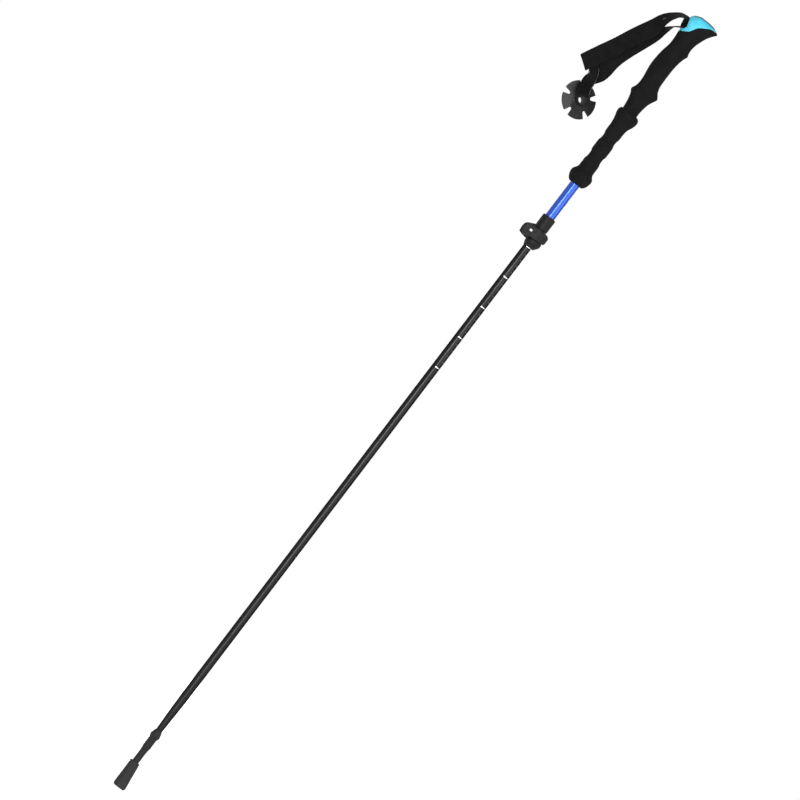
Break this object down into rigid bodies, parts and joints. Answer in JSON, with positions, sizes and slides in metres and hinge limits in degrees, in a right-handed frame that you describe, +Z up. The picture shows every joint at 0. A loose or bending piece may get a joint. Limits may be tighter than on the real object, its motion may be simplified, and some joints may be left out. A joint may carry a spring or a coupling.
{
  "type": "trail running pole",
  "caption": "Adjustable trail running pole with a lever lock, long shaped foam grip, blue cap, wrist strap, stowed snow basket and rubber foot.",
  "frame": {"origin": "on the floor under the rubber foot, on the pole's own axis, with the pole upright", "axes": "+Z up along the pole from the foot to the cap; +X forward, the way the cap's beak points; -X back, where the wrist strap hangs; +Y to the left of a walker who faces +X"},
  "size_m": [0.13, 0.0342, 1.2803],
  "materials": {
    "foot_rubber": "moulded black rubber, matte",
    "carbide": "ground hard metal",
    "steel": "plain steel, satin",
    "blackened_steel": "blackened steel, satin",
    "tip_plastic": "moulded black plastic, satin",
    "black_anodised": "black anodised tube, satin",
    "blue_anodised": "blue anodised tube, glossy",
    "lock_plastic": "moulded black plastic, satin",
    "eva_foam": "moulded black closed-cell foam, matte",
    "cap_blue": "moulded light blue plastic, satin",
    "soft_black": "soft moulded black, matte",
    "black_webbing": "woven black webbing",
    "black_elastic": "braided black elastic cord",
    "basket_plastic": "moulded black plastic, satin"
  },
  "bodies": {
    "handle": {"upper_tube": "blue_anodised", "tube_top_plug": "tip_plastic", "lock_body": "lock_plastic", "tension_bolt": "steel", "lock_washer": "steel", "lever_pin": "steel", "grip_lower": "eva_foam", "grip_upper": "eva_foam", "top_cap": "cap_blue", "crest_pad": "soft_black", "cap_screw": "steel", "strap_pin": "steel", "strap_anchor_loop": "black_webbing"},
    "shaft": {"lower_shaft": "black_anodised", "shaft_guide_plug": "tip_plastic", "tip_ferrule": "tip_plastic", "tip_holder": "steel", "carbide_tip": "carbide"},
    "foot": {"rubber_foot": "foot_rubber"},
    "lever": {"lock_lever": "lock_plastic"},
    "nut": {"adjusting_nut": "blackened_steel"},
    "strap": {"strap_outer_band": "black_webbing", "strap_inner_band": "black_webbing", "strap_tail": "black_webbing", "basket_keeper": "black_elastic"},
    "basket": {"basket": "basket_plastic"}
  },
  "joints": [
    {"name": "shaft_slide", "type": "slide", "parent": "handle", "child": "shaft", "axis": [0, 0, 1], "range_m": [0, 0.2]},
    {"name": "foot_pull", "type": "slide", "parent": "shaft", "child": "foot", "axis": [0, 0, -1], "range_m": [0, 0.045]},
    {"name": "lever_swing", "type": "hinge", "parent": "handle", "child": "lever", "pos_m": [-0.0178, -0.0095, 0.916], "axis": [0, 0, -1], "range_deg": [0, 95]},
    {"name": "nut_turn", "type": "hinge", "parent": "handle", "child": "nut", "pos_m": [-0.0178, 0, 0.916], "axis": [0, 1, 0], "continuous": true},
    {"name": "strap_lift", "type": "hinge", "parent": "handle", "child": "strap", "pos_m": [-0.0123, 0, 1.2711], "axis": [0, 1, 0], "range_deg": [0, 60]},
    {"name": "basket_swing", "type": "hinge", "parent": "strap", "child": "basket", "pos_m": [-0.0638, -0.002, 1.0947], "axis": [0.3735, -0.8829, 0.2844], "range_deg": [-5, 5]}
  ]
}
